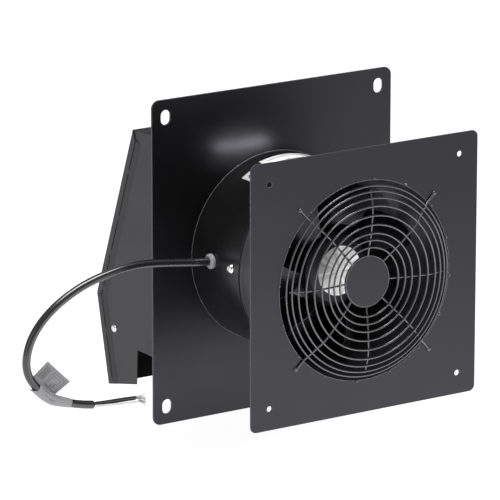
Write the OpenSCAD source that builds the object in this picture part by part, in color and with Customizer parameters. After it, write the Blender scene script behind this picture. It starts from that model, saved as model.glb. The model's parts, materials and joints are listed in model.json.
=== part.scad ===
// Through-the-wall exhaust fan: guarded axial fan, wall duct and outside weather hood.
// X is the width, Z is up, and Y is the fan axis: the guard faces -Y, the hood is on +Y.
// The seat of the outside plate against the wall is at Y = 0.

/* [Plates] */
// Side of the square inside plate
front_size = 320; // [300:1:340]
// Thickness of the inside plate
front_t = 1.5; // [1:0.1:3]
// Distance from the wall seat to the face of the inside plate
plate_gap = 193; // [185:1:200]
// Radius of the fan opening in the inside plate
opening_r = 120; // [118:0.5:124]
// Width of the outside plate
rear_w = 342; // [335:1:360]
// Height of the outside plate
rear_h = 397; // [390:1:420]
// Thickness of the outside plate
rear_t = 2; // [1.5:0.1:4]

/* [Fixing holes] */
// Distance between the screw holes of the inside plate
front_pitch = 268; // [260:1:272]
// Diameter of the screw holes of the inside plate
front_hole_d = 7; // [5:0.5:9]
// Distance across between the slots of the outside plate
slot_pitch_x = 304; // [298:1:310]
// Distance up between the slots of the outside plate
slot_pitch_z = 354; // [345:1:360]
// Width of a slot
slot_w = 13; // [9:0.5:14]
// Length of a slot from end to end
slot_l = 18; // [15:0.5:22]

/* [Duct] */
// Outside radius of the wall duct
duct_r = 116; // [114:0.5:117]
// Sheet thickness of the duct and the fan housing
duct_t = 1.2; // [0.8:0.1:2]
// Distance from the wall seat to the free edge of the wall duct
duct_len = 100; // [90:1:110]

/* [Guard] */
// Wire radius of the guard rings
wire_r = 1.1; // [0.9:0.1:1.4]
// Radius of the plain disc in the middle
disc_r = 31; // [28:1:34]

/* [Fan] */
// Number of blades
blade_count = 7; // [5:1:9]
// Radius at the blade tips
blade_tip_r = 104; // [98:1:108]
// Outside radius of the rotor
rotor_r = 46; // [44:0.5:48]
// Distance from the wall seat to the front face of the rotor
rotor_face = 140; // [135:1:145]

/* [Hood] */
// Half of the width of the hood
hood_hw = 135; // [130:1:140]
// Height of the hood roof above the fan axis
hood_top = 140; // [130:1:150]
// Sheet thickness of the hood
hood_t = 1; // [0.8:0.1:1.5]
// Width of the folded edge strips on the hood sides
hood_lap = 9; // [6:0.5:12]

/* [Cable] */
// Outside diameter of the cable
cable_d = 10; // [8:0.5:11]
// Diameter of each insulated wire
wire_d = 3; // [2.5:0.1:3.5]

/* [Hidden] */
$fn = 64;
eps = 0.01;

// Inside plate and guard
front_face = -plate_gap;
front_back = front_face + front_t;
ring_r = [41.5, 50.5, 59, 69.5, 80.5, 91.5, 100.5, 108, 114];
ring_lift = [8.3, 9.8, 11.4, 12.6, 13.2, 12.6, 10.2, 7.6, 4.8];
disc_lift = 4;
guard_turn = -1.7;
foot_r = 134;
spoke_middle = [[24, 2.6], [41.5, 6.1], [59, 9.2], [80.5, 11], [91.5, 10.4]];
long_spoke = concat(spoke_middle, [[108, 5.4], [120, 1.3], [foot_r, 1.3]]);
short_spoke = concat(spoke_middle, [[110, 4.9]]);

// Fan housing: a spigot inside the wall duct, flared out to the inside plate
spigot_r = duct_r - duct_t - 0.2;
spigot_end = -56;
neck_y = -104;
flare_r = opening_r + duct_t;
tab_count = 16;
tab_turn = 17;

// Motor, from the wall side towards the room
arm_turn = 176.5;
arm_reach = spigot_r - duct_t - 0.5;
screw_y = -84;
arm_y = -66;
arm_t = 2.5;
base_y = arm_y - arm_t;
base_r = 41;
base_t = 5;
core_back = -82;
core_front = -118;
core_r = 36;
tube_r = 15;
shaft_r = 5;
bearing_r = 13;
bearing_w = 8;
rotor_back = -78;
rotor_wall = 3;
rotor_y = -rotor_face;
lead_z = 7;
gland_y = -43;

// Blades: leading edge towards the room, tips swept forward in the running direction
blade_t = 1.4;
blade_root_r = rotor_r - 0.1;
span_steps = 9;
chord_steps = 8;

// Hood side outline, as [distance from the wall seat, height]
roof_out = [100, hood_top];
kink = [185, -81];
lip_out = [159.5, -191.5];
lip_in = [97, -177];
notch_in = [94.5, -133];
notch_wall = [rear_t, -133];
roof_wall = [rear_t, hood_top];
hood_flange = 10;
side_screw = [147, -118];

// Route of the cable, as [x, z] in the plane Y = gland_y, from the gland to the cut end
cable_route = [
    [-121, 7], [-136, 8.5], [-155, 11], [-175, 13.7], [-195, 16], [-215, 17.2],
    [-236, 16.3], [-257, 13.2], [-277, 8.8], [-296, 2.6], [-314, -5.6], [-330, -15],
    [-344, -25.8], [-356, -38.5], [-364.5, -52], [-369.5, -66.5], [-370.8, -81], [-366.8, -95.5],
    [-357, -109], [-344.5, -119.5], [-330, -127.8], [-313, -134.6], [-296, -139.2], [-282, -141.8]
];
// Routes of the three wires, as [x, y offset, z]
black_route = [[-282, 0, -140.2], [-266, 0, -141], [-250, 0, -141.4], [-236, 0, -141.9], [-222, 0, -142.6]];
green_route = [
    [-282, 1.8, -143.2], [-266, 1.9, -144], [-250, 2, -144.4], [-236, 2.1, -144.8], [-222, 2.2, -145.3]
];
white_route = [
    [-282, -1.8, -143.4], [-266, -1.8, -144.9], [-250, -1.8, -146.2], [-236, -1.7, -147.2], [-222, -1.6, -148]
];
tip_len = 13;
// Corners of the flag's tail as [x, z]: the two behind the cable, then the two free ones
tail_corners = [[-364.6, -100.5], [-336.4, -126.6], [-309, -110.6], [-338.8, -81.2]];
tail_t = 0.5;

// ---------- shared shapes ----------

// A solid of revolution about the fan axis; the outline is given as [radius, y]
module around_axis(outline) {
    rotate([-90, 0, 0]) rotate_extrude($fn = 128) polygon(outline);
}

// A cylinder along Y between two y values
module along_y(r, y0, y1, sides = 64) {
    translate([0, y0, 0]) rotate([-90, 0, 0]) cylinder(r = r, h = y1 - y0, $fn = sides);
}

// A flat sheet in the XZ plane with round corners, between two y values
module plate(w, h, corner, y0, y1) {
    translate([0, y1, 0]) rotate([90, 0, 0]) linear_extrude(y1 - y0) {
        square([w - 2 * corner, h], center = true);
        square([w, h - 2 * corner], center = true);
        for (sx = [-1, 1], sz = [-1, 1]) {
            translate([sx * (w / 2 - corner), sz * (h / 2 - corner)]) circle(r = corner, $fn = 48);
        }
    }
}

// Repeats its children at the four signs of x and z
module four_corners(dx, dz) {
    for (sx = [-1, 1], sz = [-1, 1]) {
        translate([sx * dx, 0, sz * dz]) children();
    }
}

// Turns its children about the fan axis; positive goes from +X towards +Z
module turn(a) {
    rotate([0, -a, 0]) children();
}

// A straight round wire between two points
module wire(p, q, r) {
    v = q - p;
    len = norm(v);
    translate(p) rotate([0, acos(v.z / len), atan2(v.y, v.x)]) cylinder(r = r, h = len, $fn = 16);
}

// A round tube swept through a list of points that lie in a plane with the normal side
function route_dir(p, i) = let(
        a = p[max(0, i - 1)],
        b = p[min(len(p) - 1, i + 1)]
    ) (b - a) / norm(b - a);

module tube(p, r, sides, side) {
    n = len(p);
    points = [for (i = [0:n - 1]) let(u = cross(side, route_dir(p, i))) each
        [for (k = [0:sides - 1]) let(a = 360 * k / sides) p[i] + r * (cos(a) * u / norm(u) + sin(a) * side)]];
    walls = [for (i = [0:n - 2], k = [0:sides - 1]) let(m = (k + 1) % sides)
        [i * sides + k, (i + 1) * sides + k, (i + 1) * sides + m, i * sides + m]];
    start = [for (k = [0:sides - 1]) k];
    finish = [for (k = [0:sides - 1]) n * sides - 1 - k];
    polyhedron(points, concat([start], walls, [finish]));
}

// A closed sheet between two grids of points, each a list of rows; b lies on the side
// that row direction cross column direction points to
module slab(a, b) {
    rows = len(a);
    cols = len(a[0]);
    points = concat([for (line = a) each line], [for (line = b) each line]);
    function id(k, i, j) = (k * rows + i) * cols + j;
    function quad(p, q, r, s) = [[p, q, r], [p, r, s]];
    skins = [for (i = [0:rows - 2], j = [0:cols - 2]) each concat(
        quad(id(0, i, j), id(0, i + 1, j), id(0, i + 1, j + 1), id(0, i, j + 1)),
        quad(id(1, i, j), id(1, i, j + 1), id(1, i + 1, j + 1), id(1, i + 1, j)))];
    ends = [for (j = [0:cols - 2]) each concat(
        quad(id(0, 0, j), id(0, 0, j + 1), id(1, 0, j + 1), id(1, 0, j)),
        quad(id(0, rows - 1, j), id(1, rows - 1, j), id(1, rows - 1, j + 1), id(0, rows - 1, j + 1)))];
    edges = [for (i = [0:rows - 2]) each concat(
        quad(id(0, i, 0), id(1, i, 0), id(1, i + 1, 0), id(0, i + 1, 0)),
        quad(id(0, i, cols - 1), id(0, i + 1, cols - 1), id(1, i + 1, cols - 1), id(1, i, cols - 1)))];
    polyhedron(points, concat(skins, ends, edges));
}

// Spoke profile [radius, lift] to points on the X axis in front of the inside plate
function spoke_points(profile) = [for (p = profile) [p[0], front_face - p[1], 0]];

// ---------- plates and duct ----------

module front_plate() {
    color("#3f3f44")
    difference() {
        plate(front_size, front_size, 8, front_face, front_back);
        along_y(opening_r, front_face - 1, front_back + 1, 128);
        four_corners(front_pitch / 2, front_pitch / 2)
            along_y(front_hole_d / 2, front_face - 1, front_back + 1, 32);
        for (i = [0:tab_count - 1]) {
            turn(tab_turn + i * 360 / tab_count)
                translate([opening_r - 2, front_face - 1, -1.7]) cube([4.6, front_t + 2, 3.4]);
        }
    }
}

module fan_housing() {
    color("#55555a") {
        difference() {
            around_axis([
                [spigot_r - duct_t, spigot_end], [spigot_r, spigot_end], [spigot_r, neck_y],
                [flare_r, front_back + 26], [flare_r, front_back],
                [flare_r - duct_t, front_back], [flare_r - duct_t, front_back + 26],
                [spigot_r - duct_t, neck_y]
            ]);
            duct_screw_holes();
        }
        for (i = [0:tab_count - 1]) {
            turn(tab_turn + i * 360 / tab_count)
                translate([opening_r + 0.1, front_face - 1, -1.4]) cube([2, front_t + 1 + eps, 2.8]);
        }
    }
}

module duct_screw_holes() {
    for (i = [0:3]) {
        turn(arm_turn + 90 * i) translate([duct_r - 15, screw_y, 0]) rotate([0, 90, 0])
            cylinder(r = 2.05, h = 20, $fn = 24);
    }
}

module wall_duct() {
    color("#1c1c1f")
    difference() {
        around_axis([
            [duct_r - duct_t, -duct_len], [duct_r, -duct_len], [duct_r, rear_t],
            [duct_r + 11, rear_t], [duct_r + 11, rear_t + duct_t], [duct_r - duct_t, rear_t + duct_t]
        ]);
        translate([-duct_r - 5, gland_y, lead_z]) rotate([0, 90, 0]) cylinder(r = 6.6, h = 12, $fn = 32);
        duct_screw_holes();
    }
}

module rear_plate() {
    color("#26262a")
    difference() {
        plate(rear_w, rear_h, 10, 0, rear_t);
        along_y(duct_r + 0.3, -1, rear_t + 1, 128);
        four_corners(slot_pitch_x / 2, slot_pitch_z / 2) rear_slot();
    }
}

module rear_slot() {
    run = slot_l - slot_w;
    for (s = [-1, 1]) {
        translate([0, 0, s * run / 2]) along_y(slot_w / 2, -1, rear_t + 1, 32);
    }
    translate([-slot_w / 2, -1, -run / 2]) cube([slot_w, rear_t + 2, run]);
}

// Screws through the wall duct, the spigot and the ends of the motor bracket
module duct_screws() {
    color("#c9c9cc")
    for (i = [0:3]) {
        turn(arm_turn + 90 * i) translate([duct_r, screw_y, 0]) rotate([0, 90, 0]) {
            cylinder(r = 6, h = 1.2, $fn = 32);
            translate([0, 0, 1.2]) cylinder(r1 = 5, r2 = 3.6, h = 2.4, $fn = 32);
            translate([0, 0, -9]) cylinder(r = 2, h = 9 + eps, $fn = 24);
        }
    }
}

// A curved sticker on the duct, between two angles and two y values
module duct_patch(a0, a1, y0, y1) {
    rotate([-90, 0, 0]) rotate([0, 0, -a1]) translate([0, 0, y0])
        rotate_extrude(angle = a1 - a0, $fn = 128) translate([duct_r, 0]) square([0.25, y1 - y0]);
}

module duct_label() {
    color("white") duct_patch(66, 107, -72, -20);
}

// A square sticker behind the front plate's corner, for the arrow that shows the air flow
module airflow_arrow() {
    color("white") duct_patch(114.2, 123.2, -50, -28);
}

// ---------- guard ----------

// One wire ring; they are numbered from the middle outwards
module guard_ring(number) {
    color("#8a8a8e")
    translate([0, front_face - ring_lift[number - 1], 0]) rotate([90, 0, 0])
        rotate_extrude($fn = 96) translate([ring_r[number - 1], 0]) circle(r = wire_r, $fn = 16);
}

module guard_long_spokes() {
    color("#707074")
    for (a = [45:90:315]) {
        turn(a + guard_turn) tube(spoke_points(long_spoke), wire_r + 0.15, 10, [0, 0, 1]);
    }
}

module guard_short_spokes() {
    color("#8a8a8e")
    for (a = [0:90:270]) {
        turn(a + guard_turn) tube(spoke_points(short_spoke), wire_r, 10, [0, 0, 1]);
    }
}

module guard_disc() {
    color("#3f3f44")
    around_axis([
        [0, front_face - disc_lift - 1.2], [disc_r - 1, front_face - disc_lift - 1.2],
        [disc_r, front_face - disc_lift - 0.2], [disc_r, front_face - disc_lift + 1.8],
        [disc_r - 1.2, front_face - disc_lift + 1.8], [disc_r - 1.2, front_face - disc_lift],
        [0, front_face - disc_lift]
    ]);
}

module guard_weld_beads() {
    color("#b0b0b4")
    for (a = [45:90:315]) {
        turn(a + guard_turn) translate([foot_r, front_face, 0]) intersection() {
            sphere(r = 2.9, $fn = 24);
            translate([-4, -4, -4]) cube([8, 4, 8]);
        }
    }
}

// ---------- motor, standing parts ----------

module motor_bracket() {
    color("#1c1c1f")
    difference() {
        union() {
            along_y(base_r + 2, arm_y - arm_t, arm_y);
            for (i = [0:3]) {
                turn(arm_turn + 90 * i) {
                    translate([base_r - 4, arm_y - arm_t, -9]) cube([arm_reach - base_r + 4, arm_t, 18]);
                    translate([arm_reach - 2.4, screw_y - 9, -9]) cube([2.4, arm_y - screw_y + 9, 18]);
                }
            }
        }
        along_y(tube_r - 5, arm_y - 10, arm_y + 1);
        duct_screw_holes();
        for (i = [0:3]) {
            turn(arm_turn + 45 + 90 * i) translate([30, 0, 0]) along_y(2.3, arm_y - 10, arm_y + 1, 24);
        }
        translate([-26, 0, lead_z]) along_y(4.6, arm_y - 10, arm_y + 1, 32);
    }
}

module bracket_screws() {
    color("#c9c9cc")
    for (i = [0:3]) {
        turn(arm_turn + 45 + 90 * i) translate([30, 0, 0]) {
            along_y(3.8, arm_y, arm_y + 3.2, 6);
            along_y(2, base_y - base_t, arm_y + eps, 24);
        }
    }
}

module motor_base() {
    color("#8f9093")
    difference() {
        union() {
            along_y(base_r, base_y - base_t, base_y);
            along_y(26, base_y - base_t - 3, base_y - base_t + eps);
        }
        along_y(tube_r - 3, base_y - 12, base_y + 1);
        for (i = [0:3]) {
            turn(arm_turn + 45 + 90 * i) translate([30, 0, 0]) along_y(2, base_y - 8, base_y + 1, 24);
        }
        translate([-26, 0, lead_z]) along_y(4.6, base_y - 10, base_y + 1, 32);
    }
}

module bearing_tube() {
    color("#8f9093")
    difference() {
        along_y(tube_r, core_front - 3, base_y - base_t - 3);
        along_y(bearing_r, core_front - 4, core_front - 3 + bearing_w + 1);
        along_y(bearing_r, base_y - base_t - 3 - bearing_w, base_y - base_t);
        along_y(10, core_front - 4, base_y);
    }
}

module stator_core() {
    color("#6b6b70")
    difference() {
        along_y(core_r, core_front + 8, core_back - 6, 96);
        along_y(tube_r, core_front - 1, core_back + 1);
        for (i = [0:11]) {
            turn(i * 30) translate([27, 0, 0]) along_y(4.6, core_front - 1, core_back + 1, 24);
        }
    }
}

module stator_windings() {
    color("#a0562c")
    for (i = [0:11]) {
        turn(i * 30) translate([27, 0, 0]) {
            along_y(4.5, core_front + 2, core_back, 24);
            translate([0, core_front + 2.5, 0]) sphere(r = 4.5, $fn = 24);
        }
    }
}

module ball_bearing(y) {
    color("#b9bbbe")
    difference() {
        along_y(bearing_r, y, y + bearing_w);
        along_y(shaft_r + 0.03, y - 1, y + bearing_w + 1);
        for (s = [y - 0.8, y + bearing_w - 0.2]) {
            difference() {
                along_y(bearing_r - 2, s, s + 1);
                along_y(shaft_r + 2, s - 1, s + 2);
            }
        }
    }
}

module front_bearing() {
    ball_bearing(core_front - 3 + 1);
}

module rear_bearing() {
    ball_bearing(base_y - base_t - 3 - bearing_w);
}

// Insulated lead from the motor base, along a bracket arm, to the gland
module motor_lead() {
    path = [
        [-26, base_y - 2, lead_z], [-26, arm_y + 6, lead_z], [-28, arm_y + 13, lead_z],
        [-33, gland_y - 5, lead_z], [-41, gland_y - 1, lead_z], [-52, gland_y, lead_z],
        [-duct_r - 3, gland_y, lead_z]
    ];
    color("#151517") tube(path, 4.3, 12, [0, 0, 1]);
}

// ---------- rotor ----------

module rotor_shell() {
    color("#2b2b2e")
    difference() {
        around_axis([
            [0, rotor_y], [31, rotor_y], [39, rotor_y + 3], [43.5, rotor_y + 7], [rotor_r, rotor_y + 13],
            [rotor_r, rotor_back - 4], [rotor_r + 1.5, rotor_back - 2], [rotor_r + 1.5, rotor_back],
            [rotor_r - rotor_wall, rotor_back], [rotor_r - rotor_wall, rotor_y + 14],
            [41, rotor_y + 9], [37, rotor_y + 6.5], [9, rotor_y + 4], [9, rotor_y + 17], [0, rotor_y + 17]
        ]);
        along_y(shaft_r, rotor_y + 3, rotor_y + 18);
    }
}

module motor_shaft() {
    color("#b9bbbe")
    difference() {
        along_y(shaft_r, rotor_y + 3, base_y - 1);
        difference() {
            along_y(shaft_r + 1, base_y - 4.3, base_y - 3);
            along_y(shaft_r - 0.6, base_y - 5, base_y);
        }
    }
}

// Laminated ring with its cast cage, pressed into the rotor shell round the stator
module rotor_core() {
    color("#7d7e82")
    difference() {
        along_y(rotor_r - rotor_wall, core_front + 8, core_back - 6, 96);
        along_y(core_r + 0.5, core_front, core_back, 96);
    }
}

module shaft_circlip() {
    color("#3a3a3c")
    difference() {
        along_y(shaft_r + 2, base_y - 4.2, base_y - 3.1, 48);
        along_y(shaft_r - 0.6, base_y - 5, base_y, 48);
        translate([0, base_y - 5, -1.5]) cube([10, 4, 3]);
    }
}

module rotor_label() {
    color("#dedee0") along_y(30, rotor_y - 0.3, rotor_y, 96);
}

// Blade shape: leading edge angle, blade width as an angle, and the y of both edges
function lead_angle(r) = 20 - 12 * pow(max(0, r - 46) / 57, 1.4);
function width_angle(r) = 40 - 17 * pow(max(0, r - 46) / 57, 1.6);
function lead_y(r) = -150 + 21 * exp(-max(0, r - 46) / 7);
function trail_y(r) = -100 - 20 * pow(max(0, r - 46) / 57, 0.8);

// The share of the blade's width that is left near its rounded tip
function tip_share(r) = let(k = max(0, (r - blade_tip_r + 16) / 16)) sqrt(1 - 0.96 * k * k);

function blade_point(r, s, side) = let(
        u = 0.42 + (s - 0.42) * tip_share(r),
        chord_t = r * width_angle(r) * PI / 180,
        chord_y = trail_y(r) - lead_y(r),
        chord = norm([chord_t, chord_y]),
        st = chord_t / chord,
        sy = chord_y / chord,
        lift = 0.36 * chord * u * (1 - u) * 0.9 + side * blade_t / 2,
        a = lead_angle(r) + width_angle(r) * u + lift * sy / r * 180 / PI,
        y = lead_y(r) + chord_y * u - lift * st
    ) [r * cos(a), y, r * sin(a)];

function blade_row_r(i) = blade_root_r + (blade_tip_r - blade_root_r) * (1 - pow(1 - i / span_steps, 1.5));
function blade_grid(side) = [for (i = [0:span_steps])
    [for (j = [0:chord_steps]) blade_point(blade_row_r(i), j / chord_steps, side)]];

module blade() {
    slab(blade_grid(-1), blade_grid(1));
}

module fan_blades() {
    color("#1c1c1f")
    for (i = [0:blade_count - 1]) {
        turn(i * 360 / blade_count) blade();
    }
}

// ---------- hood ----------

// The point a distance along and inward from the edge that runs from p to q
function edge_dir(p, q) = (q - p) / norm(q - p);
function inward(p, q) = let(d = edge_dir(p, q)) [d.y, -d.x];
function shifted(p, q, at, dist) = at + inward(p, q) * dist;

// Extrudes an outline in the YZ plane between two x values
module across(outline, x0, x1) {
    translate([x0, 0, 0]) rotate([90, 0, 90]) linear_extrude(x1 - x0) polygon(outline);
}

// Inside corner of the two outer panels at the kink, moved in by a distance
function kink_in(dist) = let(
        n1 = inward(roof_out, kink),
        n2 = inward(kink, lip_out),
        m = (n1 + n2) / norm(n1 + n2)
    ) kink + m * dist / (m * n1);

side_outline = [
    roof_wall - [0, hood_t], roof_out + [-hood_t, -hood_t], kink_in(hood_t),
    shifted(kink, lip_out, lip_out, hood_t), lip_in, notch_in, notch_wall
];

// One hood side: the sheet, with a flange riveted to the outside plate
module hood_side() {
    difference() {
        union() {
            across(side_outline, -hood_hw + hood_t, -hood_hw + 2 * hood_t);
            translate([-hood_hw + hood_t - hood_flange, rear_t, notch_wall.y])
                cube([hood_flange + hood_t, hood_t, hood_top - 10 - notch_wall.y]);
        }
        side_screw_axis(2.1);
    }
}

module side_screw_axis(r) {
    translate([-hood_hw - 5, side_screw.x, side_screw.y]) rotate([0, 90, 0])
        cylinder(r = r, h = 20, $fn = 24);
}

module hood_left_side() {
    color("#505054") hood_side();
}

module hood_right_side() {
    color("#505054") mirror([1, 0, 0]) hood_side();
}

module hood_roof() {
    color("#4a4a4f") {
        across([roof_wall, roof_out, roof_out + [-hood_t * 0.6, -hood_t], roof_wall - [0, hood_t]],
            -hood_hw + hood_t, hood_hw - hood_t);
        translate([-hood_hw + hood_t, rear_t, hood_top - eps])
            cube([2 * (hood_hw - hood_t), hood_t, hood_flange]);
    }
}

// A folded edge strip along the edge from p to q, ended at the points given
module lap_strip(outline) {
    for (s = [0, 1]) {
        mirror([s, 0, 0]) across(outline, -hood_hw, -hood_hw + hood_t);
    }
}

module hood_outer_panel() {
    corner = roof_out;
    miter = shifted(roof_out, kink, roof_out + edge_dir(roof_out, kink) * (hood_lap + 2), hood_lap);
    gap = edge_dir(roof_out, kink) * 0.7;
    color("#4a4a4f") {
        across([corner, kink - gap, shifted(roof_out, kink, kink, hood_t) - gap,
            shifted(roof_out, kink, corner, hood_t) + [0.8, 0]], -hood_hw, hood_hw);
        lap_strip([corner, kink - gap, kink_in(hood_lap) - gap, miter]);
    }
}

module hood_lower_panel() {
    gap = edge_dir(kink, lip_out) * 0.5;
    color("#4a4a4f") {
        across([kink + gap, lip_out, shifted(kink, lip_out, lip_out, hood_t), kink_in(hood_t) + gap],
            -hood_hw, hood_hw);
        lap_strip([kink + gap, lip_out, shifted(kink, lip_out, lip_out, hood_lap), kink_in(hood_lap) + gap]);
        for (s = [0, 1]) {
            mirror([s, 0, 0]) lower_panel_tab();
        }
    }
}

// Inner tab that the side screw holds
module lower_panel_tab() {
    d = edge_dir(kink, lip_out);
    outline = [for (c = [[20, hood_t / 2], [56, hood_t / 2], [50, 38], [26, 38]])
        shifted(kink, lip_out, kink + d * c[0], c[1])];
    difference() {
        across(outline, -hood_hw + 2 * hood_t, -hood_hw + 3 * hood_t);
        side_screw_axis(2.1);
    }
}

module hood_side_screws() {
    color("#c9c9cc")
    for (s = [0, 1]) {
        mirror([s, 0, 0]) translate([-hood_hw + hood_t, side_screw.x, side_screw.y]) rotate([0, -90, 0]) {
            cylinder(r = 5, h = 0.9, $fn = 32);
            translate([0, 0, 0.9]) cylinder(r1 = 4.6, r2 = 3, h = 1.6, $fn = 32);
            translate([0, 0, -7]) cylinder(r = 2, h = 7 + eps, $fn = 24);
        }
    }
}

// Rivets through the hood flanges into the outside plate
module hood_rivets() {
    color("#2b2b2e") {
        for (sx = [-1, 1], z = [-115, -30, 50, 115]) {
            translate([sx * (hood_hw - hood_t + hood_flange / 2), 0, z]) hood_rivet();
        }
        for (x = [-90, -30, 30, 90]) {
            translate([x, 0, hood_top + hood_flange / 2]) hood_rivet();
        }
    }
}

module hood_rivet() {
    translate([0, rear_t + hood_t, 0]) rotate([-90, 0, 0]) cylinder(r1 = 3.2, r2 = 2.2, h = 1.2, $fn = 24);
}

// ---------- cable ----------

module cable_gland() {
    color("#9a9a9e")
    translate([0, gland_y, lead_z]) rotate([0, -90, 0]) difference() {
        union() {
            translate([0, 0, duct_r]) cylinder(r = 9, h = 3, $fn = 48);
            translate([0, 0, duct_r + 3]) cylinder(r1 = 9, r2 = 7, h = 2, $fn = 48);
            translate([0, 0, duct_r - 8]) cylinder(r = 6.5, h = 8 + eps, $fn = 48);
        }
        translate([0, 0, duct_r - 9]) cylinder(r = 4.5, h = 20, $fn = 32);
    }
}

module gland_nut() {
    color("#9a9a9e")
    translate([0, gland_y, lead_z]) rotate([0, -90, 0]) difference() {
        translate([0, 0, duct_r - 7]) cylinder(r = 10, h = 4, $fn = 6);
        translate([0, 0, duct_r - 8]) cylinder(r = 6.55, h = 10, $fn = 48);
    }
}

module power_cable() {
    color("#1a1a1c")
    tube([for (p = cable_route) [p.x, gland_y, p.y]], cable_d / 2, 12, [0, 1, 0]);
}

module loose_wire(route) {
    tube([for (p = route) [p.x, gland_y + p.y, p.z]], wire_d / 2, 8, [0, 1, 0]);
}

module black_wire() {
    color("#19191b") loose_wire(black_route);
}

module green_wire() {
    color("#1f3326") loose_wire(green_route);
}

module white_wire() {
    color("#e8e8e8") loose_wire(white_route);
}

module bare_wire_ends() {
    color("#b8b8ba")
    for (route = [black_route, green_route, white_route]) {
        last = route[len(route) - 1];
        rise = route == black_route ? 0.05 : (route == green_route ? -0.12 : -0.3);
        wire([last.x, gland_y + last.y, last.z],
            [last.x + tip_len, gland_y + last.y, last.z + rise * tip_len], 1.1);
    }
}

// Flag folded round the cable: a sleeve along its route, and a tail that stands up behind it
module cable_flag() {
    path = [for (p = cable_route) [p.x, gland_y, p.y]];
    color("#9b9ba0") {
        difference() {
            tube([for (i = [18:21]) path[i]], cable_d / 2 + 0.9, 12, [0, 1, 0]);
            tube([for (i = [17:22]) path[i]], cable_d / 2 + 0.05, 12, [0, 1, 0]);
        }
        translate([0, gland_y + cable_d / 2 + tail_t, 0]) rotate([90, 0, 0])
            linear_extrude(tail_t) polygon(tail_corners);
    }
}

// ---------- assembly ----------

front_plate();
fan_housing();
wall_duct();
rear_plate();
duct_screws();
duct_label();
airflow_arrow();
guard_ring(1);  // guard_ring_1
guard_ring(2);  // guard_ring_2
guard_ring(3);  // guard_ring_3
guard_ring(4);  // guard_ring_4
guard_ring(5);  // guard_ring_5
guard_ring(6);  // guard_ring_6
guard_ring(7);  // guard_ring_7
guard_ring(8);  // guard_ring_8
guard_ring(9);  // guard_ring_9
guard_long_spokes();
guard_short_spokes();
guard_disc();
guard_weld_beads();
motor_bracket();
bracket_screws();
motor_base();
bearing_tube();
stator_core();
stator_windings();
front_bearing();
rear_bearing();
motor_lead();
rotor_shell();
rotor_core();
motor_shaft();
shaft_circlip();
rotor_label();
fan_blades();
hood_roof();
hood_left_side();
hood_right_side();
hood_outer_panel();
hood_lower_panel();
hood_side_screws();
hood_rivets();
cable_gland();
gland_nut();
power_cable();
cable_flag();
black_wire();
green_wire();
white_wire();
bare_wire_ends();
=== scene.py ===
"""Materials, fine parts, light and camera for the through-the-wall exhaust fan."""
import bmesh
import bpy
import json
import math
import random
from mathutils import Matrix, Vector


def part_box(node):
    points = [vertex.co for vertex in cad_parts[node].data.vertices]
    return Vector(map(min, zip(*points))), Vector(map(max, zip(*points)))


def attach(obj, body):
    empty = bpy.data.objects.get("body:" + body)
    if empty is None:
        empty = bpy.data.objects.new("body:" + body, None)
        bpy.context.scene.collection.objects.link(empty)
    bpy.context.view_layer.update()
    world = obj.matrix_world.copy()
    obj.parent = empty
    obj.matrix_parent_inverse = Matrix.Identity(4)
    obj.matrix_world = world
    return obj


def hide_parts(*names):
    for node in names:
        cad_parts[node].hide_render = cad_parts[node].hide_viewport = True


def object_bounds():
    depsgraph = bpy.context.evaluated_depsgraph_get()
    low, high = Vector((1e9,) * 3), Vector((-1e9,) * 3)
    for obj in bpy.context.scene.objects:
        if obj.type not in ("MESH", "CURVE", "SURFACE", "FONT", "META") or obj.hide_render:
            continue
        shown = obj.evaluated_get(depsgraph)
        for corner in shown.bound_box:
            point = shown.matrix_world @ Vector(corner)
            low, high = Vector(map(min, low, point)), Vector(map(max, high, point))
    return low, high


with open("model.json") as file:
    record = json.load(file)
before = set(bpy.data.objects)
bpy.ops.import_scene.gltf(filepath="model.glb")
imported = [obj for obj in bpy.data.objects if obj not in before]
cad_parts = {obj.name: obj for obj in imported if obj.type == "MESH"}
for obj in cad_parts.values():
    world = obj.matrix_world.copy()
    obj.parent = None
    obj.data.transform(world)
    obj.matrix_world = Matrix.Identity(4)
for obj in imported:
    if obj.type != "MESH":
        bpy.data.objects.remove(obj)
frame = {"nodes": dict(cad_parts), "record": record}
cad_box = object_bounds()
nodes = frame["nodes"]
MM = 0.001


# ---------- sizes read from the frame, or the same as in the CAD ----------

LABEL_T = 0.25 * MM
FACE_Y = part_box("front_plate")[0].y
DUCT_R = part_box("duct_label")[1].z - LABEL_T
OPENING_R = 0.120
TAB_COUNT = 16
# Angles round the fan axis, in degrees from +X towards +Z, of the first tab and the first duct screw
TAB_TURN = 17
ARM_TURN = 176.5
# The outer face of the hood's left side, so it is negative
HOOD_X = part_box("hood_outer_panel")[0].x
HOOD_T = 1 * MM
GLAND_Y = -0.043
CABLE_R = 0.005
WIRE_R = 0.0015
# How far the printed marks stand off the surface under them
PRINT_LIFT = 0.06 * MM

# The cable's route in the plane y = GLAND_Y, as (x, z), from the gland to the cut end
CABLE_ROUTE = [
    (-0.121, 0.007), (-0.136, 0.0085), (-0.155, 0.011), (-0.175, 0.0137), (-0.195, 0.016),
    (-0.215, 0.0172), (-0.236, 0.0163), (-0.257, 0.0132), (-0.277, 0.0088), (-0.296, 0.0026),
    (-0.314, -0.0056), (-0.330, -0.015), (-0.344, -0.0258), (-0.356, -0.0385), (-0.3645, -0.052),
    (-0.3695, -0.0665), (-0.3708, -0.081), (-0.3668, -0.0955), (-0.357, -0.109), (-0.3445, -0.1195),
    (-0.330, -0.1278), (-0.313, -0.1346), (-0.296, -0.1392), (-0.282, -0.1418),
]

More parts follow.
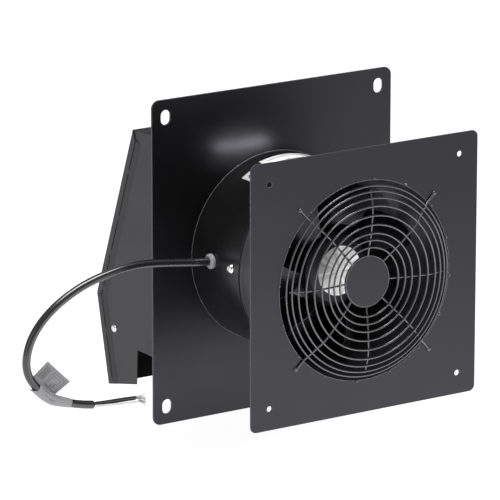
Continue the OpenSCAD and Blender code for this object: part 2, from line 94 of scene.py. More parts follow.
# The routes of the three wires by colour, as (x, y offset, z)
WIRE_ROUTES = {
    "black": [
        (-0.282, 0, -0.1402), (-0.266, 0, -0.141), (-0.250, 0, -0.1414), (-0.236, 0, -0.1419),
        (-0.222, 0, -0.1426),
    ],
    "green": [
        (-0.282, 0.0018, -0.1432), (-0.266, 0.0019, -0.144), (-0.250, 0.002, -0.1444),
        (-0.236, 0.0021, -0.1448), (-0.222, 0.0022, -0.1453),
    ],
    "white": [
        (-0.282, -0.0018, -0.1434), (-0.266, -0.0018, -0.1449), (-0.250, -0.0018, -0.1462),
        (-0.236, -0.0017, -0.1472), (-0.222, -0.0016, -0.148),
    ],
}


# ---------- camera, stage and light ----------

# The camera was fitted to the photo; angles are in degrees and the lens in millimetres
VIEW_AZIMUTH = -33.46
VIEW_ELEVATION = 15.07
VIEW_DISTANCE = 5.4058
VIEW_LENS = 325.4
VIEW_TARGET = Vector((-0.0333, 0.0, -0.00147))

# The floor lies 50 mm below the lowest point of the fan
FLOOR_Z = cad_box[0][2] - 0.05
FLOOR_HALF = 30
# The floor's glow falls from NEAR to FAR between the two distances from the pool's centre
POOL_CENTRE = (0.2, -0.65, FLOOR_Z)
POOL_REACH = (0.15, 0.7)
FLOOR_NEAR = 1.8
FLOOR_FAR = 0.95
WORLD_STRENGTH = 0.25

# Each light's name, place, aim, size, power in watts and spread in degrees; the last one sits
# between the plates and gives the outside plate its glint
AREA_LIGHTS = (
    ("left_softbox", (-2.4, -0.6, 0.5), (0, 0, 0), (1.2, 2.0), 7, 180),
    ("top_softbox", (-0.2, -0.4, 2.4), (0, 0, 0), (1.6, 1.0), 60, 180),
    ("gap_glint", (-0.019, -0.042, 0.1195), (-0.019, 0, 0.1215), (0.075, 0.005), 0.016, 150),
)


def make_camera():
    az = math.radians(VIEW_AZIMUTH)
    el = math.radians(VIEW_ELEVATION)
    back = Vector((math.sin(az) * math.cos(el), -math.cos(az) * math.cos(el), math.sin(el)))
    data = bpy.data.cameras.new("camera")
    data.lens = VIEW_LENS
    data.sensor_width = 36
    data.clip_end = 100
    camera = bpy.data.objects.new("camera", data)
    camera.location = VIEW_TARGET + back * VIEW_DISTANCE
    camera.rotation_euler = (-back).to_track_quat("-Z", "Y").to_euler()
    bpy.context.scene.collection.objects.link(camera)
    bpy.context.scene.camera = camera


def make_floor():
    corners = [(x * FLOOR_HALF, y * FLOOR_HALF, FLOOR_Z) for x, y in ((-1, -1), (1, -1), (1, 1), (-1, 1))]
    mesh = bpy.data.meshes.new("floor")
    mesh.from_pydata(corners, [], [(0, 1, 2, 3)])
    floor = bpy.data.objects.new("floor", mesh)
    bpy.context.scene.collection.objects.link(floor)
    mesh.materials.append(floor_paper())


def floor_paper():
    """White paper with its own soft glow, brightest in a pool in front of the fan."""
    mat = new_material("floor_paper")
    tree = mat.node_tree
    shader = tree.nodes["Principled BSDF"]
    put(shader, Base_Color=(0.3, 0.3, 0.3, 1), Roughness=0.95, Emission_Color=(1, 1, 1, 1))
    coord = tree.nodes.new("ShaderNodeTexCoord")
    far = tree.nodes.new("ShaderNodeVectorMath")
    far.operation = "DISTANCE"
    far.inputs[1].default_value = POOL_CENTRE
    tree.links.new(coord.outputs["Object"], far.inputs[0])
    glow = add_range(tree, far.outputs["Value"], FLOOR_NEAR, FLOOR_FAR, *POOL_REACH)
    tree.links.new(glow, shader.inputs["Emission Strength"])
    return mat


def area_light(name, place, aim, size, power, spread):
    data = bpy.data.lights.new(name, "AREA")
    data.shape = "RECTANGLE"
    data.size, data.size_y = size
    data.energy = power
    data.spread = math.radians(spread)
    light = bpy.data.objects.new(name, data)
    light.location = place
    light.visible_camera = False
    light.rotation_euler = (Vector(aim) - Vector(place)).to_track_quat("-Z", "Y").to_euler()
    bpy.context.scene.collection.objects.link(light)


def make_light():
    world = bpy.data.worlds.new("studio")
    world.use_nodes = True
    background = world.node_tree.nodes["Background"]
    background.inputs["Color"].default_value = (1, 1, 1, 1)
    background.inputs["Strength"].default_value = WORLD_STRENGTH
    bpy.context.scene.world = world
    for light in AREA_LIGHTS:
        area_light(*light)
    bpy.context.scene.view_settings.view_transform = "Standard"


# ---------- materials ----------

# A faint violet tint of the reflections on coated parts
SHEEN_TINT = (0.88, 0.86, 1.0, 1)
# Nearly all values of a noise texture lie between these
NOISE_LOW = 0.3
NOISE_HIGH = 0.7
# Smaller faces than this, in square metres, are the cut edges of the sheet
WALL_AREA = 0.0005
HOOD_MIDDLE = Vector((0, 0.08, 0))
HOOD_NODES = ("hood_left_side", "hood_right_side", "hood_outer_panel", "hood_lower_panel", "hood_roof")


def new_material(name):
    mat = bpy.data.materials.new(name)
    mat.use_nodes = True
    return mat


def put(shader, **values):
    """Sets the shader's own sockets; an underscore in a name stands for a space."""
    for key, value in values.items():
        shader.inputs[key.replace("_", " ")].default_value = value


def add_noise(tree, scale, detail=4.0, stretch=(1, 1, 1)):
    """A noise texture in object coordinates; returns its output socket."""
    coord = tree.nodes.new("ShaderNodeTexCoord")
    mapping = tree.nodes.new("ShaderNodeMapping")
    mapping.inputs["Scale"].default_value = stretch
    noise = tree.nodes.new("ShaderNodeTexNoise")
    noise.inputs["Scale"].default_value = scale
    noise.inputs["Detail"].default_value = detail
    tree.links.new(coord.outputs["Object"], mapping.inputs["Vector"])
    tree.links.new(mapping.outputs["Vector"], noise.inputs["Vector"])
    return noise.outputs["Fac"]


def add_range(tree, source, low, high, start=NOISE_LOW, end=NOISE_HIGH):
    """Maps start..end of a socket to low..high."""
    node = tree.nodes.new("ShaderNodeMapRange")
    node.inputs["From Min"].default_value = start
    node.inputs["From Max"].default_value = end
    node.inputs["To Min"].default_value = low
    node.inputs["To Max"].default_value = high
    tree.links.new(source, node.inputs["Value"])
    return node.outputs["Result"]


def add_ramp(tree, source, dark, light):
    """Colours a noise socket from dark to light."""
    node = tree.nodes.new("ShaderNodeValToRGB")
    node.color_ramp.elements[0].color = (*dark, 1)
    node.color_ramp.elements[0].position = NOISE_LOW
    node.color_ramp.elements[1].color = (*light, 1)
    node.color_ramp.elements[1].position = NOISE_HIGH
    tree.links.new(source, node.inputs["Fac"])
    return node.outputs["Color"]


def add_bump(tree, source, strength, distance, under=None):
    """A bump from one height socket, over the rounded normal when that is given."""
    node = tree.nodes.new("ShaderNodeBump")
    node.inputs["Strength"].default_value = strength
    node.inputs["Distance"].default_value = distance
    tree.links.new(source, node.inputs["Height"])
    if under is not None:
        tree.links.new(under, node.inputs["Normal"])
    return node.outputs["Normal"]


def add_edges(tree, radius):
    """The normal with sharp edges rounded by a radius, and a mask that is 1 on those edges."""
    rounded = tree.nodes.new("ShaderNodeBevel")
    rounded.samples = 6
    rounded.inputs["Radius"].default_value = radius
    surface = tree.nodes.new("ShaderNodeNewGeometry")
    dot = tree.nodes.new("ShaderNodeVectorMath")
    dot.operation = "DOT_PRODUCT"
    tree.links.new(rounded.outputs["Normal"], dot.inputs[0])
    tree.links.new(surface.outputs["Normal"], dot.inputs[1])
    mask = add_range(tree, dot.outputs["Value"], 1.0, 0.0, 0.80, 0.97)
    return rounded.outputs["Normal"], mask


def add_mix(tree, factor, first, second):
    """Mixes a colour socket with a second plain colour by a factor socket."""
    node = tree.nodes.new("ShaderNodeMix")
    node.data_type = "RGBA"
    tree.links.new(factor, node.inputs["Factor"])
    tree.links.new(first, node.inputs[6])
    node.inputs[7].default_value = (*second, 1)
    return node.outputs[2]


def coated(
    name, dark, light, rough, edge_wear_and_highlight, grain=1400.0, grain_depth=0.00006, edge=0.0006, coat=0.0, level=0.5
):
    """Paint or powder coat: a fine grain, a slow colour drift, uneven gloss, and edges in a lighter colour
    that is partly wear and partly painted highlight.
    """
    mat = new_material(name)
    tree = mat.node_tree
    shader = tree.nodes["Principled BSDF"]
    put(shader, Coat_Weight=coat, Coat_Roughness=0.12, Specular_IOR_Level=level, Specular_Tint=SHEEN_TINT)
    drift = add_noise(tree, 14.0, 3.0)
    fine = add_noise(tree, grain, 2.0)
    normal, edges = add_edges(tree, edge)
    # the edge mask lays on the lighter colour: part wear, part painted highlight
    colour = add_mix(tree, edges, add_ramp(tree, drift, dark, light), edge_wear_and_highlight)
    tree.links.new(colour, shader.inputs["Base Color"])
    tree.links.new(add_range(tree, drift, rough[0], rough[1]), shader.inputs["Roughness"])
    tree.links.new(add_bump(tree, fine, 0.5, grain_depth, normal), shader.inputs["Normal"])
    return mat


def metal(name, dark, light, rough, scale=300.0, stretch=(1, 1, 1), depth=0.00002):
    """Bare or plated metal with fine marks."""
    mat = new_material(name)
    tree = mat.node_tree
    shader = tree.nodes["Principled BSDF"]
    put(shader, Metallic=1.0)
    marks = add_noise(tree, scale, 4.0, stretch)
    normal, _ = add_edges(tree, 0.0004)
    tree.links.new(add_ramp(tree, marks, dark, light), shader.inputs["Base Color"])
    tree.links.new(add_range(tree, marks, rough[0], rough[1]), shader.inputs["Roughness"])
    tree.links.new(add_bump(tree, marks, 0.4, depth, normal), shader.inputs["Normal"])
    return mat


def plastic(name, dark, light, rough, coat=0.0):
    """Moulded plastic, film or wire insulation."""
    mat = new_material(name)
    tree = mat.node_tree
    shader = tree.nodes["Principled BSDF"]
    put(shader, Coat_Weight=coat, Coat_Roughness=0.08)
    marks = add_noise(tree, 500.0, 3.0)
    tree.links.new(add_ramp(tree, marks, dark, light), shader.inputs["Base Color"])
    tree.links.new(add_range(tree, marks, rough[0], rough[1]), shader.inputs["Roughness"])
    tree.links.new(add_bump(tree, marks, 0.3, 0.00002), shader.inputs["Normal"])
    return mat


def radial_reflection_film(name):
    """Metallised film on the rotor face, with a painted reflection: light and dark streaks that run out from
    the fan axis.
    """
    mat = new_material(name)
    tree = mat.node_tree
    shader = tree.nodes["Principled BSDF"]
    put(shader, Metallic=1.0)
    coord = tree.nodes.new("ShaderNodeTexCoord")
    split = tree.nodes.new("ShaderNodeSeparateXYZ")
    turn = tree.nodes.new("ShaderNodeMath")
    turn.operation = "ARCTAN2"
    reflection_streak = tree.nodes.new("ShaderNodeTexNoise")
    reflection_streak.noise_dimensions = "1D"
    reflection_streak.inputs["Scale"].default_value = 3.0
    reflection_streak.inputs["Detail"].default_value = 1.0
    tree.links.new(coord.outputs["Object"], split.inputs["Vector"])
    tree.links.new(split.outputs["Z"], turn.inputs[0])
    tree.links.new(split.outputs["X"], turn.inputs[1])
    tree.links.new(turn.outputs["Value"], reflection_streak.inputs["W"])
    fac = reflection_streak.outputs["Fac"]
    # painted reflection: the streaks set light and dark greys in the base colour
    tree.links.new(add_ramp(tree, fac, grey(0.45), grey(0.95)), shader.inputs["Base Color"])
    tree.links.new(add_range(tree, fac, 0.34, 0.4), shader.inputs["Roughness"])
    tree.links.new(add_bump(tree, fac, 0.1, 0.00001), shader.inputs["Normal"])
    return mat


def grey(v, blue=0.0):
    """A grey of lightness v, with the blue raised by a share of it."""
    return (v * (1 + 0.1 * blue), v, v * (1 + blue))


def make_materials():
    """One material for each slot of the record, and a few for the fine parts."""
    # Lighter edge colours: partly wear, partly painted highlight along edges that catch the light
    plate_edge_wear_and_highlight = grey(0.3, 0.1)
    part_edge_wear_and_highlight = grey(0.16, 0.1)
    thin = {"grain": 900.0, "grain_depth": 0.00002, "edge": 0.0001}
    fan = {"grain": 700.0, "grain_depth": 0.00002}
    made = [
        coated("plate_coat", grey(0.0025), grey(0.004), (0.32, 0.38), plate_edge_wear_and_highlight, edge=0.0009),
        coated("hood_coat", grey(0.003), grey(0.005), (0.34, 0.40), grey(0.12, 0.1), level=0.42),
        # painted shade: a near black matte for the inner faces of the hood, where shade falls
        coated("painted_hood_shade", grey(0.002), grey(0.003), (0.6, 0.7), grey(0.004), level=0.1),
        # The housing's grey is far lighter than the plate and duct coats; this is partly painted light for
        # the brighter reflection on its flare
        coated("housing_coat", grey(0.045, 0.1), grey(0.052, 0.1), (0.32, 0.40), part_edge_wear_and_highlight),
        coated("duct_coat", grey(0.006), grey(0.008), (0.24, 0.32), part_edge_wear_and_highlight, 900.0, 0.00003),
        coated("guard_wire", grey(0.03), grey(0.05), (0.12, 0.18), grey(0.3), coat=1.0, level=0.8, **thin),
        # painted highlight: a light grey for the fine rings and tips laid on edges that catch the light
        coated("painted_edge_highlight", grey(0.16), grey(0.24), (0.2, 0.3), grey(0.4), coat=0.4, **thin),
        # painted shade: near black slits that stand in for the shadow line beside the hood's folded strips
        coated("seam_dark", grey(0.006), grey(0.010), (0.6, 0.7), grey(0.01), level=0.15),
        coated("rotor_paint", grey(0.008, 0.1), grey(0.012, 0.1), (0.36, 0.46), grey(0.05), **fan),
        coated("blade_paint", grey(0.004, 0.1), grey(0.006, 0.1), (0.22, 0.32), grey(0.04), **fan),
        coated("rivet_black", grey(0.01), grey(0.02), (0.3, 0.4), grey(0.1)),
        metal("bright_screw", grey(0.8), grey(0.92), (0.14, 0.26)),
        metal("cast_alloy", grey(0.4), grey(0.55), (0.4, 0.6), depth=0.0001),
        metal("lamination", grey(0.2), grey(0.35), (0.35, 0.5), 900.0, (0.1, 4, 0.1)),
        metal("copper_enamel", (0.45, 0.18, 0.07), (0.6, 0.25, 0.1), (0.25, 0.35)),
        metal("bearing_steel", grey(0.5), grey(0.65), (0.15, 0.25)),
        metal("spring_steel", grey(0.08), grey(0.14), (0.3, 0.4)),
        metal("tinned_copper", grey(0.5), grey(0.75), (0.2, 0.35)),
        plastic("label_white", grey(0.53), grey(0.59), (0.4, 0.5)),
        plastic("gland_grey", grey(0.28, 0.05), grey(0.33, 0.05), (0.4, 0.5)),
        plastic("cable_jacket", grey(0.010, 0.2), grey(0.016, 0.2), (0.24, 0.32), coat=1.0),
        plastic("flag_grey", grey(0.29, 0.05), grey(0.34, 0.05), (0.4, 0.5)),
        plastic("print_grey", grey(0.02), grey(0.04), (0.4, 0.5)),
        plastic("print_faint", grey(0.1), grey(0.13), (0.4, 0.5)),
        plastic("wire_black", grey(0.01), grey(0.014), (0.25, 0.32), coat=0.3),
        plastic("wire_green", (0.012, 0.025, 0.016), (0.016, 0.035, 0.02), (0.25, 0.32), coat=0.3),
        plastic("wire_white", grey(0.75), grey(0.82), (0.25, 0.32), coat=0.3),
        radial_reflection_film("rotor_label"),
    ]
    # the frame's own materials already hold some of these names, so Blender numbers the new ones
    return {mat.name.split(".")[0]: mat for mat in made}


def dress_nodes():
    """Gives every CAD node its slot's material, and the hood's inner faces a painted shade."""
    for row in frame["record"]["subparts"]:
        node = nodes[row["node"]]
        node.data.materials.clear()
        node.data.materials.append(materials[row["material_slot"]])
    for name in HOOD_NODES:
        shape = nodes[name].data
        shape.materials.append(materials["painted_hood_shade"])
        for face in shape.polygons:
            looks_in = face.normal.dot(HOOD_MIDDLE - face.center) > 0.01
            if face.area > WALL_AREA and looks_in:
                face.material_index = 1


# ---------- shape helpers ----------

WELD_DISTANCE = 0.000002
RING_SIDES = 180


def add_object(name, data, material, body="frame"):
    """Links a new mesh or curve, gives it a material and rides it on a body."""
    obj = bpy.data.objects.new(name, data)
    bpy.context.scene.collection.objects.link(obj)
    data.materials.append(materials[material])
    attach(obj, body)
    return obj


def mesh_object(name, points, faces, material, smooth=True):
    mesh = bpy.data.meshes.new(name)
    mesh.from_pydata(points, [], faces)
    mesh.polygons.foreach_set("use_smooth", [smooth] * len(mesh.polygons))
    mesh.update()
    return add_object(name, mesh, material)


def smooth_path(points, steps=6):
    """Points of a smooth curve through the given ones."""
    pts = [Vector(p) for p in points]
    ends = [2 * pts[0] - pts[1]] + pts + [2 * pts[-1] - pts[-2]]
    path = []
    for i in range(1, len(ends) - 2):
        a, b, c, d = ends[i - 1:i + 3]
        for k in range(steps):
            t = k / steps
            path.append(0.5 * (2 * b + (c - a) * t + (2 * a - 5 * b + 4 * c - d) * t ** 2
                               + (3 * b - 3 * c + d - a) * t ** 3))
    return path + [pts[-1]]


def add_strip(points, faces, strip):
    """Adds a strip of quads; its points come in pairs, one on each long edge."""
    first = len(points)
    points += strip
    faces += [(a, a + 2, a + 3, a + 1) for a in range(first, first + len(strip) - 2, 2)]


def add_grid(points, faces, rows, closed=False):
    """Adds a sheet of quads through rows of points; a closed one joins both ends of its rows."""
    first = len(points)
    wide = len(rows[0])
    for row in rows:
        points += row
    for start in range(first, first + (len(rows) - 1) * wide, wide):
        for k in range(wide if closed else wide - 1):
            a = start + k
            b = start + (k + 1) % wide
            faces.append((a, b, b + wide, a + wide))


def add_spline(curve, path, closed=False):
    spline = curve.splines.new("POLY")
    spline.points.add(len(path) - 1)
    for point, place in zip(spline.points, path):
        point.co = (*place, 1)
    spline.use_cyclic_u = closed


def wire_object(name, paths, radius, material, closed=False):
    """Round wires along paths, in one object."""
    curve = bpy.data.curves.new(name, "CURVE")
    curve.dimensions = "3D"
    curve.bevel_depth = radius
    curve.bevel_resolution = 5
    curve.use_fill_caps = not closed
    for path in paths:
        add_spline(curve, path, closed)
    return add_object(name, curve, material)


def axis_point(radius, angle, y):
    """A point round the fan axis; the angle is in degrees from +X towards +Z."""
    turn = math.radians(angle)
    return Vector((radius * math.cos(turn), y, radius * math.sin(turn)))


def ring_path(radius, y):
    return [axis_point(radius, 360 * i / RING_SIDES, y) for i in range(RING_SIDES)]


def smooth_copy(node, body, sharp=35):
    """A welded, smooth shaded copy of a CAD node that stands for it, with edges over an angle kept sharp."""
    shape = bmesh.new()
    shape.from_mesh(nodes[node].data)
    bmesh.ops.remove_doubles(shape, verts=shape.verts, dist=WELD_DISTANCE)
    for face in shape.faces:
        face.smooth = True
    for edge in shape.edges:
        edge.smooth = edge.calc_face_angle(0.0) < math.radians(sharp)
    mesh = bpy.data.meshes.new("smooth_" + node)
    shape.to_mesh(mesh)
    shape.free()
    slots = {row["node"]: row["material_slot"] for row in frame["record"]["subparts"]}
    obj = add_object("smooth_" + node, mesh, slots[node], body)
    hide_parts(node)


# ---------- cable ----------

STRAND_COUNT = 15
STRAND_R = 0.25 * MM

# The part of the route that the flag's sleeve covers, and the sleeve's gap to the cable
SLEEVE_ROUTE = CABLE_ROUTE[18:22]
SLEEVE_GAP = 0.5 * MM
SLEEVE_SIDES = 32
# Lines on the sleeve, as (first point, last point, turn round the cable in radians)
SLEEVE_LINES = ((4, 6, 3.3), (7, 10, 3.55), (7, 10, 3.75), (2, 12, 2.5))
SLEEVE_LINE_W = 0.1
# The sleeve's pinched fold, in millimetres: its height at the start and at its peak, how far it
# slides back at the start, and where the peak is as a share of the sleeve's length
FOLD_START = 1.4
FOLD_TALL = 3.1
FOLD_SLIDE = 8
FOLD_PEAK = 0.55

# Corners of the flag's tail: the two behind the cable, then the two free ones
TAIL_LOW = (Vector((-0.3646, 0, -0.1005)), Vector((-0.3364, 0, -0.1266)))
TAIL_HIGH = (Vector((-0.3388, 0, -0.0812)), Vector((-0.309, 0, -0.1106)))
TAIL_Y = GLAND_Y + CABLE_R + 0.0003
TAIL_BOW = 0.9 * MM
TAIL_STEPS = (12, 10)
FILM_T = 0.35 * MM
# The marks on the tail clear the film's thickness too
TAIL_PRINT_LIFT = 0.3 * MM
BAR_STEPS = 6


def make_cable():
    """The jacket and its three wires, each a smooth curve along its route."""
    jacket_path = smooth_path([(x, GLAND_Y, z) for x, z in CABLE_ROUTE])
    jacket = wire_object("cable_jacket", [jacket_path], CABLE_R, "cable_jacket")
    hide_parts("power_cable")
    flag = make_flag()
    for colour, route in WIRE_ROUTES.items():
        path = smooth_path([(x, GLAND_Y + y, z) for x, y, z in route])
        wire = wire_object("insulated_" + colour, [path], WIRE_R, "wire_" + colour)
        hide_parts(colour + "_wire")
    make_strands()


def make_strands():
    """Bare strands at the wire ends, slightly spread."""
    spread = random.Random(4)
    paths = []
    for route in WIRE_ROUTES.values():
        x, y, z = route[-1]
        start = Vector((x, GLAND_Y + y, z))
        for i in range(STRAND_COUNT):
            turn = 2 * math.pi * i / STRAND_COUNT
            side = Vector((0, math.cos(turn), math.sin(turn)))
            reach = spread.uniform(9, 14) * MM
            bend = Vector((reach, 0, -0.2 * reach)) + side * spread.uniform(0.6, 4.5) * MM
            paths.append(smooth_path([
                start - Vector((1, 0, 0)) * MM + side * 0.6 * MM,
                start + Vector((0.3, 0, 0)) * reach + side * 0.9 * MM,
                start + bend + Vector((0, 0, spread.uniform(-1, 1))) * MM,
            ], 4))
    strands = wire_object("bare_strands", paths, STRAND_R, "tinned_copper")
    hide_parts("bare_wire_ends")


def tail_point(along, up, lift=0.0):
    """A point on the flag's tail, both shares from 0 to 1; it bows a little; lift is towards the room."""
    low = TAIL_LOW[0].lerp(TAIL_LOW[1], along)
    high = TAIL_HIGH[0].lerp(TAIL_HIGH[1], along)
    bow = TAIL_BOW * math.sin(math.pi * along) * up
    return low.lerp(high, up) + Vector((0, TAIL_Y + bow - lift, 0))


def make_flag_print():
    """Blank form lines on the flag: a block of rules, and an empty box with bars in it.

    Each bar is (left, low, right, high), in shares of the tail.
    """
    bars = [(0.09 + 0.036 * i, 0.36, 0.1 + 0.036 * i, 0.9 - 0.04 * (i % 3)) for i in range(7)]
    bars += [(0.42, 0.28, 0.43, 0.86), (0.89, 0.28, 0.9, 0.86)]
    bars += [(0.43, 0.27, 0.89, 0.285), (0.43, 0.85, 0.89, 0.865)]
    bars += [(0.5, 0.34, 0.51, 0.74), (0.8, 0.34, 0.81, 0.74), (0.5, 0.74, 0.81, 0.755)]
    bars += [(0.48, 0.3, 0.62, 0.33), (0.63, 0.3, 0.66, 0.48), (0.72, 0.3, 0.75, 0.56)]
    points, faces = [], []
    for left, low, right, high in bars:
        strip = []
        for i in range(BAR_STEPS + 1):
            along = left + (right - left) * i / BAR_STEPS
            strip += [tail_point(along, v, TAIL_PRINT_LIFT) for v in (low, high)]
        add_strip(points, faces, strip)
    mesh_object("flag_print", points, faces, "print_faint")


def fold_shape(share):
    """How far the sleeve's pinched fold stands out and slides back, at a share of its length."""
    if share < FOLD_PEAK:
        rise = share / FOLD_PEAK
        return (FOLD_START + (FOLD_TALL - FOLD_START) * rise) * MM, FOLD_SLIDE * (1 - rise) * MM
    return FOLD_TALL * (1 - share) / (1 - FOLD_PEAK) * MM, 0.0


def sleeve_point(core, i, turn, lift=0.0):
    """A point on the sleeve round the cable, at point i of the core; turn 0 is away from the room."""
    ahead = (core[min(i + 1, len(core) - 1)] - core[max(i - 1, 0)]).normalized()
    across = Vector((0, 1, 0))
    out = ahead.cross(across)
    stand, slide = fold_shape(i / (len(core) - 1))
    fold = max(0.0, -math.sin(turn)) ** 5
    reach = CABLE_R + SLEEVE_GAP + stand * fold + lift
    return core[i] + (across * math.cos(turn) + out * math.sin(turn)) * reach - ahead * slide * fold


def sleeve_core():
    return smooth_path([(x, GLAND_Y, z) for x, z in SLEEVE_ROUTE])


def make_sleeve_print():
    """Faint lines on the front of the sleeve."""
    core = sleeve_core()
    points, faces = [], []
    for first, last, turn in SLEEVE_LINES:
        strip = []
        for i in range(first, last + 1):
            strip += [sleeve_point(core, i, turn + wide, PRINT_LIFT) for wide in (SLEEVE_LINE_W, 0)]
        add_strip(points, faces, strip)
    mesh_object("sleeve_print", points, faces, "print_faint")


def make_flag():
    """A film flag: a sleeve wrapped round the cable and pinched into a fold, and a flat tail behind it."""
    core = sleeve_core()
    turns = [2 * math.pi * k / SLEEVE_SIDES for k in range(SLEEVE_SIDES)]
    across, up = TAIL_STEPS
    sleeve = [[sleeve_point(core, i, turn) for turn in turns] for i in range(len(core))]
    tail = [[tail_point(i / across, j / up) for i in range(across + 1)] for j in range(up + 1)]
    points, faces = [], []
    add_grid(points, faces, sleeve, closed=True)
    add_grid(points, faces, tail)
    flag = mesh_object("cable_flag_film", points, faces, "flag_grey")
    flag.modifiers.new("film", "SOLIDIFY").thickness = FILM_T
    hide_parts("cable_flag")
    return flag


# ---------- hood ----------

# Corners of the hood's side as (y, z), and the width of its folded edge strip
ROOF_CORNER = Vector((0.100, 0.140))
KINK = Vector((0.185, -0.081))
LIP = Vector((0.1595, -0.1915))
STRIP_W = 0.009
# Edges of the slope and of the slits, as (width beyond the strip, lift off its face) in millimetres
SLOPE_EDGES = ((0, 0.03), (12, -0.97))
SLIT_EDGES = ((0, 0.08), (1.7, -0.04))
# Start and end of each slit in millimetres, down from the roof's corner and down from the kink
UPPER_SLITS = [(9, 51), (58, 117), (123, 169), (175, 220), (226, 233)]
LOWER_SLITS = [(2.5, 44), (51, 105)]
# The strip behind the joint of the outer panels: its reach from the kink to both sides, how far
# it lies behind their outer faces, and how far its bend lies behind the kink
LIP_REACH = 5 * MM
LIP_TUCK = 1.15 * MM
LIP_BEND = 1.2 * MM


def fold_strip(points, faces, fold, reach, edges):
    """A narrow strip beside a fold, over a reach along it, on both hood sides; edges are (width, lift)."""
    start, end = fold
    along = (end - start).normalized()
    inward = Vector((along.y, -along.x))
    for side in (1, -1):
        strip = []
        for distance in reach:
            for width, lift in edges:
                place = start + along * distance * MM + inward * (STRIP_W + width * MM)
                strip.append(Vector((side * (HOOD_X - lift * MM), place.x, place.y)))
        add_strip(points, faces, strip)


def make_hood_folds():
    """A slope that closes the step beside each folded strip of the hood sides, and slits of painted shade
    along it.
    """
    slopes, slits = ([], []), ([], [])
    for fold, cuts in (((ROOF_CORNER, KINK), UPPER_SLITS), ((KINK, LIP), LOWER_SLITS)):
        length = (fold[1] - fold[0]).length / MM
        fold_strip(*slopes, fold, (cuts[0][0], length), SLOPE_EDGES)
        for cut in cuts:
            fold_strip(*slits, fold, cut, SLIT_EDGES)
    mesh_object("hood_slopes", *slopes, "hood_coat", smooth=False)
    mesh_object("hood_slit_shade", *slits, "seam_dark", smooth=False)


def make_fold_lip():
    """A bent strip that closes the joint between the two outer hood panels from behind."""
    profile = []
    for end, tuck in ((ROOF_CORNER, -1), (LIP, 1)):
        along = (end - KINK).normalized()
        behind = Vector((along.y, -along.x)) * tuck
        profile.append(KINK + along * LIP_REACH + behind * LIP_TUCK)
    profile.insert(1, KINK - Vector((LIP_BEND, 0)))
    reach = HOOD_X + 2 * HOOD_T
    points, faces = [], []
    add_strip(points, faces, [Vector((x, p.x, p.y)) for p in profile for x in (reach, -reach)])
    # the strip takes the hood's painted shade, a dark fill where the joint shows only shade
    mesh_object("hood_fold_lip", points, faces, "painted_hood_shade", smooth=False)


# ---------- duct and plates ----------

RULE_STEPS = 10

# A screw head's dome and washer rim, as shares of its radius and of its height
DOME_END = 0.82
DOME_ZERO = 0.84
RIM_HEIGHT = 0.28
# The cross recess: half its width, its reach and its depth as shares of the radius and the height
CROSS_HALF = 0.5 * MM
CROSS_REACH = 0.5
CROSS_DEPTH = 0.3
SHANK_R = 2 * MM
SHANK_LENGTH = 3 * MM
HEAD_RINGS = 26
HEAD_SIDES = 64


def make_label_print():
    """Blank form rules on the duct label and an arrow along the air flow on the small sticker.

    Each rule is (first angle, last angle, y, width), in degrees and millimetres.
    """
    points, faces = [], []
    rules = [(68 + 6 * (i % 2), 104 - 9 * (i % 3), -68 + 6.5 * i, 1.6) for i in range(7)]
    rules += [(119.4 - 0.4 * i, 119.4 + 0.4 * i, -34 - 1.2 * i, 1.25) for i in range(1, 6)]
    rules.append((118.9, 119.9, -48, 8))
    for low, high, y, wide in rules:
        strip = []
        for i in range(RULE_STEPS + 1):
            angle = low + (high - low) * i / RULE_STEPS
            strip += [axis_point(DUCT_R + LABEL_T + PRINT_LIFT, angle, v * MM) for v in (y + wide, y)]
        add_strip(points, faces, strip)
    mesh_object("label_rules", points, faces, "print_grey")


def make_painted_highlights():
    """Painted highlights, fine light rings where edges catch the light: where the duct meets its plate, round
    the opening and the guard disc, on the tabs.
    """
    low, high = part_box("guard_disc")
    rings = (
        ("duct_root_highlight", DUCT_R + 0.3 * MM, -0.2 * MM, 0.22 * MM),
        ("opening_highlight", OPENING_R + 0.3 * MM, FACE_Y, 0.25 * MM),
        ("disc_rim_highlight", high.x - 0.5 * MM, low.y + 0.6 * MM, 0.5 * MM),
    )
    for name, radius, y, ring_r in rings:
        wire_object(name, [ring_path(radius, y)], ring_r, "painted_edge_highlight", closed=True)
    tips = []
    for i in range(TAB_COUNT):
        out = axis_point(1, TAB_TURN + 360 / TAB_COUNT * i, 0)
        tips.append([out * (OPENING_R + d * MM) + Vector((0, FACE_Y - 0.9 * MM, 0)) for d in (0.6, 2.0)])
    wire_object("tab_tip_highlights", tips, 0.7 * MM, "painted_edge_highlight")


def screw_height(reach, across, head_r, tall):
    """Height of a domed washer head with a cross recess, over a point at reach * head_r."""
    if reach > DOME_END:
        past = (reach - DOME_END) / (1 - DOME_END)
        height = RIM_HEIGHT * tall * math.sqrt(max(0.0, 1 - past ** 2))
    else:
        dome = math.sqrt(max(0.0, 1 - (reach / DOME_ZERO) ** 4))
        height = tall * (RIM_HEIGHT + (1 - RIM_HEIGHT) * dome)
    if across * head_r < CROSS_HALF and reach < CROSS_REACH:
        height -= CROSS_DEPTH * tall
    return height


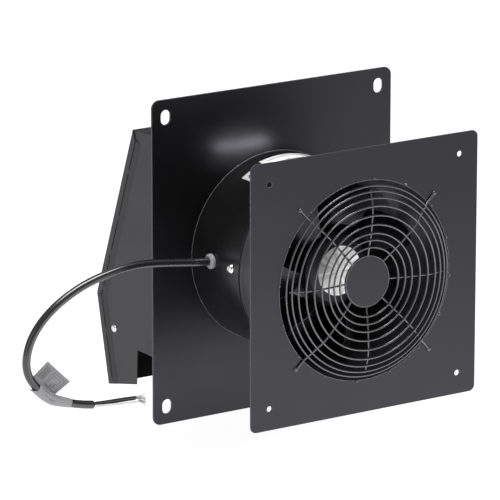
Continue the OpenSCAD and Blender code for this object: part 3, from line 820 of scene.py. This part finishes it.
def make_screws(name, places, head_r, tall):
    """Washer-head screws with a short shank; places are (centre of the seat, outward axis)."""
    turns = [2 * math.pi * k / HEAD_SIDES for k in range(HEAD_SIDES)]
    points, faces = [], []
    for centre, axis in places:
        side = axis.orthogonal().normalized()
        other = axis.cross(side)
        rows = []
        for j in range(HEAD_RINGS + 1):
            reach = j / HEAD_RINGS
            row = []
            for turn in turns:
                across = reach * min(abs(math.cos(turn)), abs(math.sin(turn)))
                flat = (side * math.cos(turn) + other * math.sin(turn)) * reach * head_r
                row.append(centre + flat + axis * screw_height(reach, across, head_r, tall))
            rows.append(row)
        for depth in (0.0, SHANK_LENGTH):
            rim = [(side * math.cos(turn) + other * math.sin(turn)) * SHANK_R for turn in turns]
            rows.append([centre + flat - axis * depth for flat in rim])
        add_grid(points, faces, rows, closed=True)
    # the rows run outwards, so the quads are turned over to face along the axis
    faces = [(a, d, c, b) for a, b, c, d in faces]
    return mesh_object(name, points, faces, "bright_screw")


def make_all_screws():
    low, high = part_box("duct_screws")
    y = (low.y + high.y) / 2
    places = []
    for i in range(4):
        out = axis_point(1, ARM_TURN + 90 * i, 0)
        places.append((out * DUCT_R + Vector((0, y, 0)), out))
    duct = make_screws("duct_screw_heads", places, head_r=6 * MM, tall=3.6 * MM)
    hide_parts("duct_screws")
    low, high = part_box("hood_side_screws")
    places = []
    for x in (HOOD_X, -HOOD_X):
        out = Vector((math.copysign(1, x), 0, 0))
        places.append((Vector((x, (low.y + high.y) / 2, (low.z + high.z) / 2)) - out * HOOD_T, out))
    sides = make_screws("side_screw_heads", places, head_r=5 * MM, tall=2.5 * MM)
    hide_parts("hood_side_screws")


# ---------- making ----------

make_camera()
materials = make_materials()
dress_nodes()
make_cable()
make_flag_print()
make_sleeve_print()
smooth_copy("fan_blades", "rotor")
smooth_copy("motor_lead", "frame")
smooth_copy("guard_long_spokes", "frame", 50)
smooth_copy("guard_short_spokes", "frame", 50)
make_hood_folds()
make_fold_lip()
make_label_print()
make_painted_highlights()
make_all_screws()
make_floor()
make_light()
